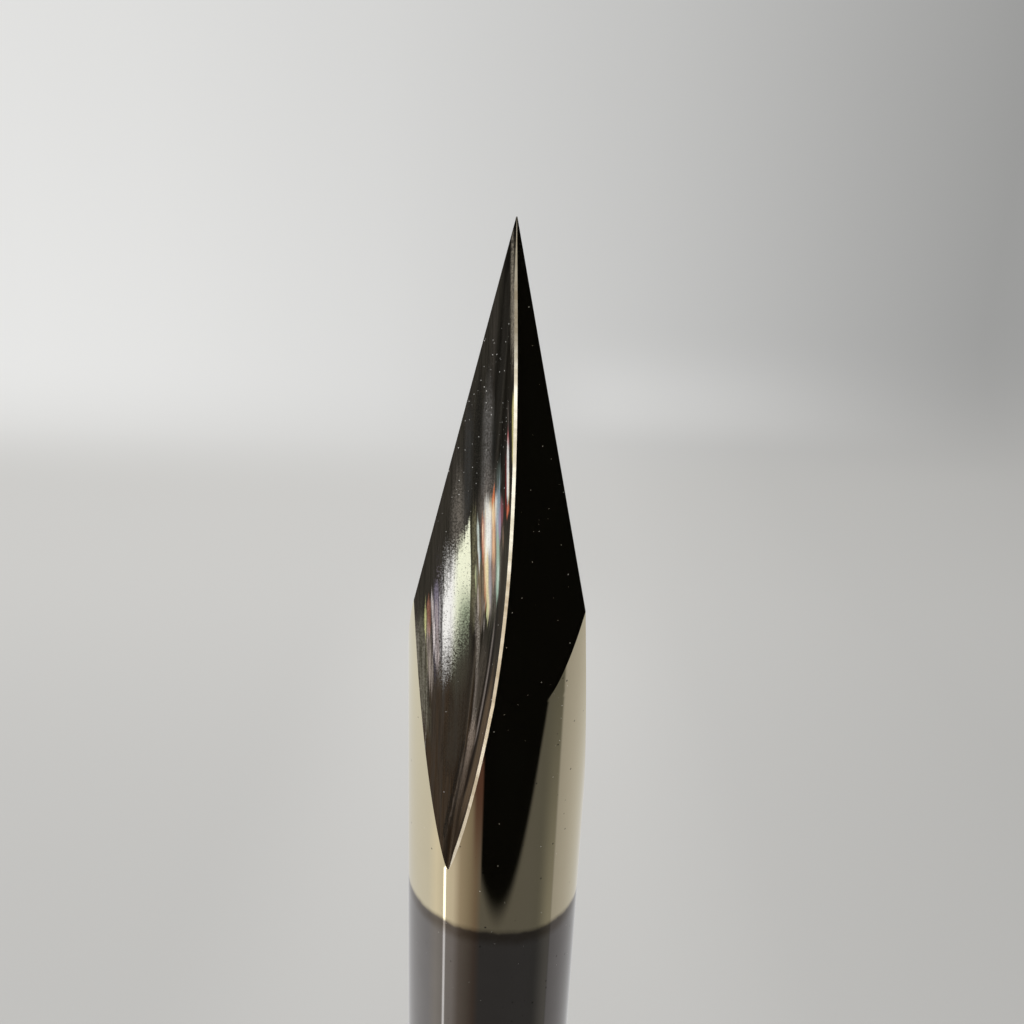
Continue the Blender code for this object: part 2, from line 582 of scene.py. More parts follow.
@dataclass
class RouterBit:
    """The whole bit: shank, coated front, three flutes and the relieved point, in one piece."""

    bar: BarSizes = field(default_factory=BarSizes)
    point: PointSizes = field(default_factory=PointSizes)
    flute: FluteSizes = field(default_factory=FluteSizes)
    fineness: MeshFineness = field(default_factory=MeshFineness)

    @property
    def sharp_z(self) -> float:
        """Height of the sharp point that the edges aim at."""
        return self.bar.length + self.point.tip_depth

    @property
    def shoulder(self) -> float:
        """Depth where the cutting edges reach the bar's own radius."""
        return self.bar.radius / self.point.slope

    @property
    def flute_length(self) -> float:
        """Depth where the flutes run out."""
        return self.shoulder + self.flute.past_shoulder

    @property
    def relief_end(self) -> float:
        """Depth where the relief meets the bar's own radius everywhere."""
        return self.shoulder / (1.0 - self.point.relief_drop)

    def root(self, depth: float) -> float:
        """Distance of a flute's root from the axis: an arc that meets the bar's surface.

        Args:
            depth: The depth of the section.

        Returns:
            The distance.
        """
        slope = self.flute.web_share * self.point.slope
        lift = (self.bar.radius - slope * self.flute_length) / self.flute_length ** 2
        return slope * depth + lift * depth ** 2

    def softness(self, depth: float) -> float:
        """How far the rounded root stays above the meeting of its two walls at a depth."""
        local = min(self.point.slope * depth, self.bar.radius)
        return self.flute.root_radius / tan(self.flute.root_wall) ** 2 * local / self.bar.radius

    def rake_ratio(self, depth: float) -> float:
        """Width over rise of the wall that ends in the cutting edge.

        Args:
            depth: The depth of the section.

        Returns:
            The ratio that holds the edge straight down to the shoulder, and is kept below it.
        """
        held = min(depth, self.shoulder)
        edge = self.point.slope * held
        soft = self.softness(depth)
        rise = edge * cos(self.flute.edge_to_root) - self.root(held)
        return edge * sin(self.flute.edge_to_root) / sqrt(rise ** 2 + 2.0 * rise * soft)

    def land_radius(self, depth: float) -> float:
        """Radius of a land near its heel, with the corner at the relief's end eased."""
        relieved = self.point.slope * depth * (1.0 - self.point.relief_drop)
        apart = relieved - self.bar.radius
        return (relieved + self.bar.radius - hypot(apart, self.flute.radius_blend)) / 2

    def heel_turn(self, depth: float) -> float:
        """Turn from a flute's root to its heel line, which closes towards the run-out."""
        along = min(1.0, depth / self.flute_length)
        left = 1.0 - along ** self.flute.heel_power
        return self.flute.heel_turn * left ** self.flute.heel_rounding

    def break_width(self, depth: float) -> float:
        """Width of the break along the heel at a depth."""
        widest = self.flute.break_share * self.land_radius(depth) * self.heel_turn(depth)
        return min(self.flute.break_width, widest)

    def heel_ratio(self, depth: float) -> float:
        """Width over rise of the wall that ends in the heel.

        Args:
            depth: The depth of the section.

        Returns:
            The ratio that leads the wall to the middle of the heel's break.
        """
        held = min(depth, self.flute.held_share * self.flute_length)
        radius = self.land_radius(held)
        turn = self.heel_turn(held) - self.break_width(held) / 2 / radius
        soft = self.softness(held)
        rise = radius * cos(turn) - self.root(held)
        return radius * sin(turn) / sqrt(rise ** 2 + 2.0 * rise * soft)

    def outer_radius(self, depth: float, lag: float) -> float:
        """Radius of the relieved point or the bar, without flutes, at an angle behind the edge."""
        return min(self.bar.radius, self.point.slope * depth * self.point.share(lag))

    def wall_out(self, depth: float, across: float) -> float:
        """Distance out from the axis of a flute's surface, along the flute's own middle.

        Args:
            depth: The depth of the section.
            across: Sideways from the middle, less than 0 towards the cutting edge.

        Returns:
            The distance.
        """
        ratio = self.rake_ratio(depth) if across < 0.0 else self.heel_ratio(depth)
        soft = self.softness(depth)
        return self.root(depth) + sqrt(soft ** 2 + (across / ratio) ** 2) - soft

    def meeting(self, depth: float, side: int) -> float:
        """Where a flute's wall meets the outer surface.

        Args:
            depth: The depth of the section.
            side: -1 for the cutting edge, 1 for the heel.

        Returns:
            How far sideways from the flute's middle.
        """
        if depth >= self.flute_length:
            return 0.0
        behind = self.point.pitch - self.flute.edge_to_root
        low, high = 0.0, self.fineness.search_reach * self.bar.radius
        for _ in range(self.fineness.halvings):
            middle = (low + high) / 2
            across = side * middle
            out = self.wall_out(depth, across)
            turn = atan2(across, out)
            lag = behind - turn if side > 0 else -self.flute.edge_to_root - turn
            if hypot(across, out) < self.outer_radius(depth, lag):
                low = middle
            else:
                high = middle
        return side * (low + high) / 2

    def wall_row(self, depth: float, end: float, count: int) -> list[tuple[float, float]]:
        """Points of a flute's wall from its root to an end, close together at the root.

        Args:
            depth: The depth of the section.
            end: How far sideways the last point is.
            count: How many stretches the wall is given.

        Returns:
            The sideways and outward distances of the points after the root.
        """
        ratio = self.rake_ratio(depth) if end < 0.0 else self.heel_ratio(depth)
        unit = ratio * self.softness(depth)
        reach = asinh(end / unit)
        row = []
        for i in range(1, count + 1):
            across = unit * sinh(reach * i / count)
            row.append((across, self.wall_out(depth, across)))
        return row

    def sector(self, depth: float, tooth: int) -> list[RingPoint]:
        """Points of one flute and the land behind it, in order of turn.

        Args:
            depth: The depth of the section.
            tooth: Which flute, from 0.

        Returns:
            The points. The next flute's cutting edge is left to the next sector.
        """
        fine = self.fineness
        turn = self.point.first_edge_turn + self.flute.edge_to_root + self.point.pitch * tooth
        z = self.sharp_z - depth
        middle = Vector((sin(turn), -cos(turn), 0.0))
        sideways = Vector((cos(turn), sin(turn), 0.0))
        level = Vector((0.0, 0.0, z))
        edge = self.meeting(depth, -1)
        heel = self.meeting(depth, 1)
        wide = self.break_width(depth)
        ratio = self.heel_ratio(depth)
        heel_in = heel - wide * 0.5 * ratio / hypot(1.0, ratio)
        if edge:
            rows = list(reversed(self.wall_row(depth, edge, fine.rake)))
            rows.append((0.0, self.root(depth)))
            rows += self.wall_row(depth, heel_in, fine.heel)
            heel_turn = atan2(heel, self.wall_out(depth, heel))
            edge_turn = atan2(edge, self.wall_out(depth, edge))
        else:
            rows = [(0.0, self.bar.radius)] * (fine.rake + 1 + fine.heel)
            heel_turn = edge_turn = 0.0
        points = []
        for across, out in rows:
            line = self.grind_line(depth, across, out, heel_in)
            points.append(RingPoint(level + out * middle + across * sideways, across / MM, line / MM))
        behind = self.point.pitch - self.flute.edge_to_root
        first_lag = behind - heel_turn - wide * 0.5 / self.outer_radius(depth, behind - heel_turn)
        land = self.land_lags(depth, first_lag, -self.flute.edge_to_root - edge_turn)
        next_edge = turn - self.flute.edge_to_root + self.point.pitch
        inner = points[-1]
        outer = self.on_land(depth, next_edge, land[0])
        for i in range(1, fine.edge_break):
            points.append(RingPoint(inner.place.lerp(outer, i / fine.edge_break), inner.across, inner.line))
        for i, lag in enumerate(land[:-1]):
            near = inner if i < fine.relief else points[0]
            points.append(RingPoint(self.on_land(depth, next_edge, lag), near.across, near.line))
        return points

    def grind_line(self, depth: float, across: float, out: float, heel: float) -> float:
        """Which grinding line of the flute a point lies on.

        The lines run straight down, seen square to the land, and below the shoulder those near
        the heel bend along with it.

        Args:
            depth: The depth of the section.
            across: How far sideways from the flute's middle the point is.
            out: How far out from the axis it is.
            heel: How far sideways the wall's end is.

        Returns:
            The line's distance from the axis where it starts.
        """
        view = self.point.first_edge_turn + self.flute.edge_to_root
        straight = across * cos(view) + out * sin(view)
        if depth <= self.shoulder or not heel:
            return straight
        start = self.land_radius(self.shoulder) * sin(view + self.heel_turn(self.shoulder))
        now = self.land_radius(depth) * sin(view + self.heel_turn(depth))
        share = min(1.0, max(0.0, (across / heel - self.flute.bend_start) / self.flute.bend_span))
        return straight + (start - now) * share * share * (3.0 - 2.0 * share)

    def on_land(self, depth: float, edge_turn: float, lag: float) -> Vector:
        """A point of a tooth's outer surface.

        Args:
            depth: The depth of the section.
            edge_turn: The turn of the tooth's cutting edge.
            lag: The angle behind that edge.

        Returns:
            The point.
        """
        radius = self.outer_radius(depth, lag)
        turn = edge_turn - lag
        return Vector((radius * sin(turn), -radius * cos(turn), self.sharp_z - depth))

    def land_lags(self, depth: float, first: float, last: float) -> list[float]:
        """Angles behind the cutting edge of the points of a land, from its heel to its edge.

        Args:
            depth: The depth of the section.
            first: The angle at the heel.
            last: The angle at the cutting edge, or at the flute's rim below the shoulder.

        Returns:
            The angles. One of them is where the relief meets the bar's own radius.
        """
        fine = self.fineness
        crossing = last
        if depth > self.shoulder:
            crossing = self.point.lag_at_share(self.shoulder / depth)
        relieved = [first + (crossing - first) * i / fine.relief for i in range(fine.relief)]
        steps = range(fine.round_land + 1)
        return relieved + [crossing + (last - crossing) * i / fine.round_land for i in steps]

    def section(self, depth: float) -> list[RingPoint]:
        """All the points of the bit's section at a depth."""
        return [point for tooth in range(self.point.teeth) for point in self.sector(depth, tooth)]

    def depths(self) -> list[float]:
        """Depths of the sections from the tip's flat to where the chamfer starts.

        Returns:
            The depths, with the shoulder, the relief's end and the run-out among them.
        """
        fine = self.fineness
        start, end = self.point.tip_depth, self.flute_length
        found = {self.shoulder, self.relief_end}
        for i in range(fine.stations + 1):
            even = i / fine.stations
            eased = (1.0 - cos(pi * even)) / 2
            found.add(start + (end - start) * (0.5 * even + 0.5 * eased))
        bottom = self.sharp_z - self.bar.chamfer
        for i in range(fine.shank_rings + 1):
            found.add(end + fine.shank_start + (bottom - end - fine.shank_start) * i / fine.shank_rings)
        return sorted(found)

    def build(self) -> bpy.types.Object:
        """Draw the section down the axis from the tip, then close and clean the mesh.

        Returns:
            The bit's object, without materials.
        """
        bm = bmesh.new()
        column = bm.verts.layers.int.new("column")
        across = bm.verts.layers.float.new("across")
        line = bm.verts.layers.float.new("line")
        depth_mm = bm.verts.layers.float.new("depth")
        depths = self.depths()
        ring = []
        for i, point in enumerate(self.section(depths[0])):
            vert = bm.verts.new(point.place)
            vert[column] = i
            vert[across], vert[line], vert[depth_mm] = point.across, point.line, depths[0] / MM
            ring.append(vert)
        edges = [bm.edges.new((ring[i - 1], ring[i])) for i in range(len(ring))]
        bmesh.ops.edgeloop_fill(bm, edges=edges)
        for depth in depths[1:]:
            points = self.section(depth)
            edges, verts = grow(bm, edges)
            for vert in verts:
                point = points[vert[column]]
                vert.co = point.place
                vert[across], vert[line], vert[depth_mm] = point.across, point.line, depth / MM
        edges, verts = grow(bm, edges)
        taper = 1.0 - self.bar.chamfer / self.bar.radius
        bmesh.ops.scale(bm, vec=(taper, taper, 0.0), verts=verts)
        bmesh.ops.edgeloop_fill(bm, edges=edges)
        self.sort_faces(bm, column)
        bmesh.ops.remove_doubles(bm, verts=bm.verts, dist=self.fineness.weld)
        bmesh.ops.dissolve_degenerate(bm, edges=bm.edges, dist=self.fineness.sliver)
        bmesh.ops.recalc_face_normals(bm, faces=bm.faces)
        made = new_object("ground_router_bit", bm)
        made.data.set_sharp_from_angle(angle=self.fineness.sharp_angle)
        return made

    def sort_faces(self, bm: bmesh.types.BMesh, column: bmesh.types.BMLayerItem) -> None:
        """Give each face the material slot of the surface that it belongs to.

        Args:
            bm: The mesh, before its doubles are merged.
            column: The layer with each point's number in its section.
        """
        fine = self.fineness
        walls = fine.rake + fine.heel
        per_sector = walls + fine.edge_break + fine.relief + fine.round_land
        for face in bm.faces:
            columns = sorted({vert[column] for vert in face.verts})
            if len(columns) != 2 or columns[1] - columns[0] != 1:
                face.material_index = Surface.BAR
                continue
            place = columns[0] % per_sector
            if place < walls:
                face.material_index = Surface.FLUTE
            elif place < walls + fine.edge_break:
                face.material_index = Surface.HEEL
            else:
                face.material_index = Surface.BAR

    def dress(self, item: bpy.types.Object) -> None:
        """Give the bit its finishes and tell the frame what it stands for.

        Args:
            item: The bit's object.
        """
        coat_z = self.sharp_z - self.flute_length - self.bar.coating_past_flutes
        item.data.materials.append(CoatedBarFinish(coat_z=coat_z).make())
        item.data.materials.append(FluteFinish().make())
        item.data.materials.append(HeelFinish().make())
        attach(item, "root")
        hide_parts("router_bit")


# The bit's finishes


def dimmed(colour: Colour, share: float) -> Colour:
    """Keep a share of a colour's light."""
    return tuple(part * share for part in colour)


@dataclass(frozen=True)
class CoatedBarFinish:
    """The polished bar: pale gold coating in front, bare ground carbide behind.

    The level is the height above the coating's end in millimetres. It wavers and tilts, so that
    the line between the two metals does.
    """

    coat_z: float
    gold: Colour = (0.80, 0.72, 0.51)
    clouds: Noise = (0.9, 4.0, 0.6)
    gold_clouds: Span = (-0.2, 0.6)
    gold_dimmed: float = 0.93
    carbide: Colour = (0.236, 0.224, 0.216)
    carbide_clouds: Span = (-0.1, 0.7)
    carbide_dimmed: float = 0.82
    tilt: float = 0.02
    waver: float = 0.24
    waver_noise: Noise = (1.5, 4.0, 0.5)
    left: Span = (1.8, 0.0)
    left_lift: float = -0.19
    coat_start: Span = (-0.10, 0.05)
    tarnish: Colour = (0.130, 0.110, 0.090)
    tarnish_levels: tuple[Span, Span] = ((-0.66, -0.20), (0.22, -0.10))
    tarnish_noise: Noise = (2.2, 3.0, 0.6)
    tarnish_clouds: Span = (0.45, 1.15)
    pit: Colour = (0.05, 0.045, 0.04)
    pit_cells: float = 2.6
    pit_kept: float = 0.5
    pit_size: float = 0.13
    dust: Colour = (0.80, 0.78, 0.72)
    dust_cells: float = 7.0
    dust_thins: Span = (15.0, 17.5)
    dust_kept: Span = (0.26, 0.07)
    dust_size: float = 0.11
    roughness: Span = (0.04, 0.03)
    cloud_roughness: float = 0.015
    dust_roughness: float = 0.6

    def level(self, desk: NodeDesk, place: Socket) -> Socket:
        """Find the height above the coating's end.

        Args:
            desk: The desk of the material's tree.
            place: The place in millimetres.

        Returns:
            The level.
        """
        axes = desk.axes(place)
        height = desk.minus(axes["Z"], self.coat_z / MM)
        tilt = desk.times(axes["X"], self.tilt)
        waver = desk.swing(desk.noise(place, *self.waver_noise), self.waver)
        lift = desk.times(desk.step(axes["X"], *self.left), self.left_lift)
        return desk.plus(height, tilt, waver, lift)

    def make(self) -> bpy.types.Material:
        """Build the material.

        Returns:
            The material.
        """
        made, desk, shader = new_material("polished_gold_coating")
        place = desk.object_place(MM)
        level = self.level(desk, place)
        coated = desk.step(level, *self.coat_start)
        clouds = desk.noise(place, *self.clouds)
        gold = dimmed(self.gold, self.gold_dimmed)
        gold = desk.mix(desk.between(clouds, *self.gold_clouds), self.gold, gold)
        carbide = dimmed(self.carbide, self.carbide_dimmed)
        carbide = desk.mix(desk.between(clouds, *self.carbide_clouds), self.carbide, carbide)
        metal = desk.mix(coated, carbide, gold)
        cloudy = desk.between(desk.noise(place, *self.tarnish_noise), *self.tarnish_clouds)
        stained = desk.times(*desk.fades(level, self.tarnish_levels), cloudy)
        metal = desk.mix(stained, metal, self.tarnish)
        pits = SPECKS.place(
            desk, Vector=place, Cells=self.pit_cells, Kept=self.pit_kept, Size=self.pit_size
        )
        metal = desk.mix(pits, metal, self.pit)
        dusty = desk.between(desk.step(desk.attribute("depth"), *self.dust_thins), *self.dust_kept)
        dust = SPECKS.place(desk, Vector=place, Cells=self.dust_cells, Kept=dusty, Size=self.dust_size)
        desk.feed(shader.inputs["Base Color"], desk.mix(dust, metal, self.dust))
        desk.feed(shader.inputs["Metallic"], desk.minus(1.0, dust))
        rough = desk.between(coated, *self.roughness)
        rough = desk.plus(rough, desk.times(clouds, self.cloud_roughness))
        rough = desk.math("ADD", rough, desk.times(dust, self.dust_roughness), clamp=True)
        desk.feed(shader.inputs["Roughness"], rough)
        return made


class Guide(Enum):
    """The mesh attribute that a streak's sideways place is measured by."""

    LINE = "line"
    ACROSS = "across"


@dataclass(frozen=True)
class Streak:
    """A painted bright or dark reflection line in a ground flute, with its places and lengths in millimetres.
    """

    centre: float
    middle: float
    half_length: float
    width: float
    colour: Colour
    lean: float = 0.0
    bow: float = 0.0
    strength: float = 1.0
    fade: float = 0.5
    guide: Guide = Guide.LINE


STREAK_NUMBERS = ("centre", "middle", "half_length", "width", "lean", "bow", "fade", "strength")

# Painted light and shade: bright and dark bands along the flute's grinding lines, the reflections that its
# walls show
FLUTE_LIGHT_AND_SHADE_BANDS = (
    Streak(-0.03, 5.0, 3.9, 0.18, (0.023, 0.020, 0.015), fade=1.0, guide=Guide.ACROSS),
    Streak(-0.66, 6.9, 2.8, 0.32, (0.150, 0.142, 0.132), fade=2.0),
    Streak(-1.50, 9.3, 2.6, 0.42, (0.170, 0.150, 0.125), fade=2.4),
    Streak(-2.62, 14.2, 2.0, 0.07, (0.200, 0.185, 0.140), lean=0.09, strength=0.9, fade=1.4),
    Streak(-2.52, 13.9, 1.6, 0.05, (0.170, 0.155, 0.115), lean=0.08, strength=0.9, fade=1.2),
    Streak(-1.23, 7.6, 2.8, 0.26, (0.042, 0.042, 0.040), strength=0.8, fade=2.0),
    Streak(-0.93, 6.9, 2.5, 0.21, (0.011, 0.010, 0.007), strength=0.9, fade=1.6),
    Streak(-0.45, 7.2, 1.4, 0.13, (0.010, 0.011, 0.009), strength=0.8, fade=1.0),
    Streak(-0.035, 2.4, 2.6, 0.12, (0.330, 0.290, 0.225), lean=0.033, fade=1.6),
    Streak(-2.50, 14.3, 2.8, 0.26, (0.150, 0.142, 0.100), lean=0.08, bow=0.01, strength=0.9, fade=1.8),
    Streak(-0.97, 10.9, 2.3, 0.19, (0.200, 0.185, 0.105), lean=0.02, strength=0.95, fade=0.8),
    Streak(-0.94, 14.2, 2.7, 0.13, (0.026, 0.019, 0.011), lean=0.02, strength=0.9, fade=1.2),
    Streak(-1.07, 9.8, 1.4, 0.06, (0.016, 0.016, 0.006), lean=0.02, strength=0.9, fade=0.6),
    Streak(-1.35, 13.7, 2.0, 0.60, (0.150, 0.155, 0.110), strength=0.9, fade=1.7),
    Streak(-0.57, 14.2, 2.8, 0.18, (0.310, 0.270, 0.230), lean=0.13, bow=-0.008, fade=1.6),
    Streak(-0.38, 14.3, 1.8, 0.34, (0.090, 0.074, 0.057), lean=0.03, strength=0.9, fade=1.2),
    Streak(-0.32, 15.6, 2.6, 0.46, (0.052, 0.041, 0.028), strength=0.95, fade=1.2, guide=Guide.ACROSS),
    Streak(-0.46, 15.4, 1.8, 0.06, (0.240, 0.200, 0.175), lean=0.09, bow=-0.012, strength=0.9, fade=1.0),
    Streak(-0.41, 16.7, 1.5, 0.34, (0.420, 0.335, 0.270), lean=-0.02, strength=0.9, fade=1.2),
    Streak(-0.46, 9.8, 2.8, 0.62, (0.290, 0.250, 0.215), lean=0.05, fade=2.2),
    Streak(0.15, 17.7, 1.9, 0.36, (0.17, 0.13, 0.10), lean=-0.1, strength=0.8, fade=1.8, guide=Guide.ACROSS),
    Streak(-0.15, 18.2, 2.0, 0.09, (0.012, 0.009, 0.006), lean=-0.075, strength=0.9, guide=Guide.ACROSS),
    Streak(-0.02, 18.2, 1.8, 0.10, (0.012, 0.009, 0.006), lean=-0.075, strength=0.9, guide=Guide.ACROSS),
    Streak(-0.09, 18.4, 1.5, 0.05, (0.110, 0.085, 0.066), lean=-0.075, strength=0.9, guide=Guide.ACROSS),
)

# Painted highlights: rainbow glints and bright and dark reflection lines in the flute
HEEL_SIDE_PAINTED_GLINTS = (
    Streak(-0.73, 11.4, 1.7, 0.20, (0.300, 0.235, 0.150), lean=0.05, strength=0.9, fade=1.2),
    Streak(-0.06, 11.4, 2.0, 0.14, (0.024, 0.017, 0.011), lean=-0.02, strength=0.9, fade=1.0),
    Streak(-0.06, 16.5, 3.6, 0.14, (0.125, 0.085, 0.050), strength=0.9, fade=2.0),
    Streak(-0.700, 11.5, 1.6, 0.045, (0.025, 0.018, 0.012), lean=0.05, bow=0.015, strength=0.8),
    Streak(-0.165, 14.8, 3.9, 0.075, (0.006, 0.003, 0.002), strength=0.95, fade=0.8),
    Streak(-0.260, 14.2, 2.3, 0.055, (0.006, 0.004, 0.003), strength=0.9, fade=0.8),
    Streak(-0.205, 14.3, 2.5, 0.045, (0.230, 0.195, 0.175), lean=0.004, strength=0.95, fade=1.0),
    Streak(-0.430, 11.7, 0.9, 0.13, (0.230, 0.200, 0.195), lean=0.06, strength=0.9, fade=0.8),
    Streak(-0.560, 12.3, 0.8, 0.04, (0.340, 0.300, 0.270), lean=0.10, strength=0.8),
    Streak(-0.640, 12.2, 0.8, 0.05, (0.200, 0.165, 0.140), lean=0.08, strength=0.8),
    Streak(-0.340, 10.5, 1.0, 0.11, (0.400, 0.250, 0.195), lean=0.03, strength=0.9),
    Streak(-0.265, 7.8, 0.8, 0.16, (0.140, 0.175, 0.155), strength=0.9, fade=0.9),
    Streak(-0.255, 8.9, 1.25, 0.15, (0.480, 0.560, 0.610), lean=0.02, fade=0.9),
    Streak(-0.335, 8.9, 0.7, 0.07, (0.900, 0.880, 0.780), strength=0.9, fade=0.5),
    Streak(-0.235, 8.7, 0.8, 0.03, (0.150, 0.260, 0.330), lean=0.03, strength=0.8),
    Streak(-0.190, 9.2, 0.7, 0.08, (0.400, 0.280, 0.420), lean=0.03, strength=0.9, fade=0.5),
    Streak(-0.135, 8.7, 0.6, 0.085, (0.300, 0.095, 0.115), fade=0.5),
    Streak(-0.200, 10.4, 1.3, 0.095, (0.410, 0.560, 0.450), lean=0.03, bow=-0.02, fade=0.7),
    Streak(-0.180, 10.6, 0.5, 0.04, (0.760, 0.900, 0.800), lean=0.01, strength=0.8),
    Streak(-0.070, 9.45, 0.4, 0.035, (0.330, 0.210, 0.140), lean=0.04, strength=0.9, fade=0.3),
    Streak(-0.505, 8.8, 0.6, 0.09, (0.800, 0.650, 0.400), fade=0.5),
    Streak(-0.380, 9.5, 1.3, 0.13, (0.780, 0.420, 0.220), lean=0.05, fade=0.8),
    Streak(-0.410, 9.0, 0.6, 0.09, (0.980, 0.740, 0.420), lean=0.04, fade=0.5),
    Streak(-0.350, 9.9, 0.7, 0.03, (1.000, 0.700, 0.450), lean=0.05, strength=0.8),
    Streak(-0.415, 8.5, 0.30, 0.09, (0.820, 0.200, 0.060), fade=0.28),
    Streak(-0.430, 9.7, 1.3, 0.03, (0.200, 0.130, 0.100), lean=0.05, strength=0.7),
    Streak(-0.470, 10.5, 1.7, 0.10, (0.480, 0.440, 0.490), lean=0.05, strength=0.95, fade=0.9),
    Streak(-0.700, 9.8, 0.95, 0.09, (0.780, 0.260, 0.140), lean=0.04, fade=0.6),
    Streak(-0.720, 9.6, 0.6, 0.04, (0.950, 0.800, 0.550), lean=0.04, strength=0.8),
    Streak(-0.600, 11.0, 1.3, 0.08, (0.680, 0.350, 0.190), lean=0.06, fade=0.7),
    Streak(-0.540, 11.0, 1.5, 0.12, (1.000, 0.860, 0.520), lean=0.075, bow=0.01, fade=0.7),
    Streak(-0.475, 12.0, 0.55, 0.07, (0.680, 0.690, 0.370), lean=0.1, fade=0.4),
    Streak(-0.555, 9.5, 1.25, 0.23, (1.000, 1.000, 0.930), lean=0.03, fade=0.7),
    Streak(-0.640, 9.5, 0.8, 0.03, (0.850, 0.700, 0.450), lean=0.03, strength=0.7),
    Streak(-0.850, 9.9, 0.85, 0.07, (0.760, 0.860, 0.790), lean=0.06, fade=0.5),
    Streak(-0.815, 10.5, 0.55, 0.040, (0.950, 1.000, 1.000), lean=0.05, fade=0.4),
    Streak(-0.775, 10.4, 0.4, 0.04, (0.190, 0.370, 0.470), lean=0.05, strength=0.9, fade=0.4),
    Streak(-0.900, 11.3, 0.7, 0.04, (0.560, 0.590, 0.340), lean=0.05, strength=0.9),
    Streak(-0.860, 11.2, 0.6, 0.03, (0.350, 0.380, 0.300), lean=0.05, strength=0.8),
    Streak(-0.800, 11.9, 0.8, 0.06, (0.500, 0.430, 0.370), lean=0.06, strength=0.9),
    Streak(-0.035, 7.9, 1.1, 0.045, (0.200, 0.010, 0.010), lean=0.03, strength=0.95),
    Streak(0.045, 7.9, 0.8, 0.030, (0.900, 0.600, 0.190), lean=0.035, strength=0.95),
    Streak(-0.045, 5.9, 0.8, 0.025, (0.170, 0.140, 0.120), lean=0.03, strength=0.7),
    Streak(-0.020, 6.6, 0.5, 0.055, (0.600, 0.190, 0.190), lean=0.035, fade=0.5),
    Streak(0.050, 8.65, 0.35, 0.065, (0.880, 0.220, 0.110), lean=0.035, fade=0.3),
    Streak(0.010, 7.5, 1.1, 0.068, (1.000, 1.000, 0.950), lean=0.035, fade=0.5),
    Streak(0.112, 6.1, 1.4, 0.050, (0.700, 0.620, 0.250), lean=0.033, fade=0.8),
)

# Painted highlights: coloured glints and reflection lines low on the wall of the cutting edge
RAKE_SIDE_PAINTED_GLINTS = (
    Streak(-1.955, 12.5, 1.7, 0.055, (0.090, 0.080, 0.085), lean=0.02, strength=0.8),
    Streak(-1.650, 13.0, 1.2, 0.045, (0.300, 0.270, 0.240), lean=0.02, strength=0.6),
    Streak(-2.475, 12.5, 0.65, 0.075, (0.680, 0.670, 0.300), lean=0.03, fade=0.4),
    Streak(-2.365, 12.4, 0.75, 0.11, (0.500, 0.215, 0.145), lean=0.02, fade=0.4),
    Streak(-2.350, 12.85, 0.35, 0.06, (0.620, 0.380, 0.320), fade=0.25),
    Streak(-2.130, 12.0, 1.0, 0.15, (0.270, 0.235, 0.310), lean=0.03, strength=0.9, fade=0.6),
    Streak(-2.170, 13.8, 1.0, 0.060, (0.050, 0.042, 0.065), lean=0.05, strength=0.9),
    Streak(-2.320, 15.3, 1.2, 0.060, (0.018, 0.013, 0.010), lean=0.045, strength=0.9),
    Streak(-2.320, 13.7, 1.5, 0.15, (0.430, 0.360, 0.310), lean=0.07, strength=0.9, fade=0.9),
    Streak(-2.090, 13.0, 1.3, 0.095, (0.560, 0.470, 0.450), lean=0.05, strength=0.9),
    Streak(-2.020, 12.3, 0.9, 0.040, (0.600, 0.560, 0.560), lean=0.03, strength=0.7),
    Streak(-2.200, 12.9, 1.4, 0.085, (0.850, 0.760, 0.740), lean=0.075, bow=0.01),
    Streak(-2.420, 13.6, 0.9, 0.040, (0.300, 0.280, 0.180), lean=0.06, strength=0.7),
)


@dataclass(frozen=True)
class StreakMask(Effect):
    """Where a streak shows: a path that may lean and bow, thinner towards its two ends."""

    name: str = "painted_reflection_streak"
    gives: str = "Mask"
    takes: tuple[str, ...] = ("Place", "Depth", *STREAK_NUMBERS)
    end_width: float = 0.4
    rim: Span = (0.12, 0.80)

    def fill(self, desk: NodeDesk, given: Mapping[str, Socket]) -> Socket:
        """Measure how far a point lies from the streak's path and from its ends.

        Args:
            desk: The desk of the group's tree.
            given: The point's place and depth, and the streak's own values.

        Returns:
            The streak's mask.
        """
        down = desk.minus(given["Depth"], given["middle"])
        slope = desk.plus(given["lean"], desk.times(given["bow"], down))
        path = desk.plus(given["centre"], desk.times(slope, down))
        left = desk.minus(given["half_length"], desk.math("ABSOLUTE", down))
        lit = desk.step(left, 0.0, given["fade"])
        width = desk.times(given["width"], desk.between(lit, self.end_width, 1.0))
        off = desk.math("ABSOLUTE", desk.minus(given["Place"], path))
        far = desk.step(off, *(desk.times(width, share) for share in self.rim))
        return desk.times(desk.minus(1.0, far), lit, given["strength"])


STREAK_MASK = StreakMask()


@dataclass(frozen=True)
class LineNoise:
    """Noise along the grinding lines: lines in a millimetre, their length and a seed."""

    count: float
    length: float
    seed: float

    def lay(self, desk: NodeDesk, line: Socket, depth: Socket) -> Socket:
        """Put the noise into a material, by the grinding line and the depth."""
        return LINES.place(
            desk, Across=line, Along=depth, Count=self.count, Length=self.length, Seed=self.seed
        )


@dataclass(frozen=True)
class StreakBreakup:
    """How the grain and the thin lines break up a painted highlight or reflection streak: what they leave of
    it.
    """

    grain_left: float
    lines_left: float
    lines: Span

    def mask(self, desk: NodeDesk, speckle: Socket, thin: Socket) -> Socket:
        """Find how far a streak shows at each spot of the speckle and the thin lines."""
        grain = desk.between(speckle, self.grain_left, 1.0)
        return desk.times(grain, desk.between(desk.step(thin, *self.lines), self.lines_left, 1.0))


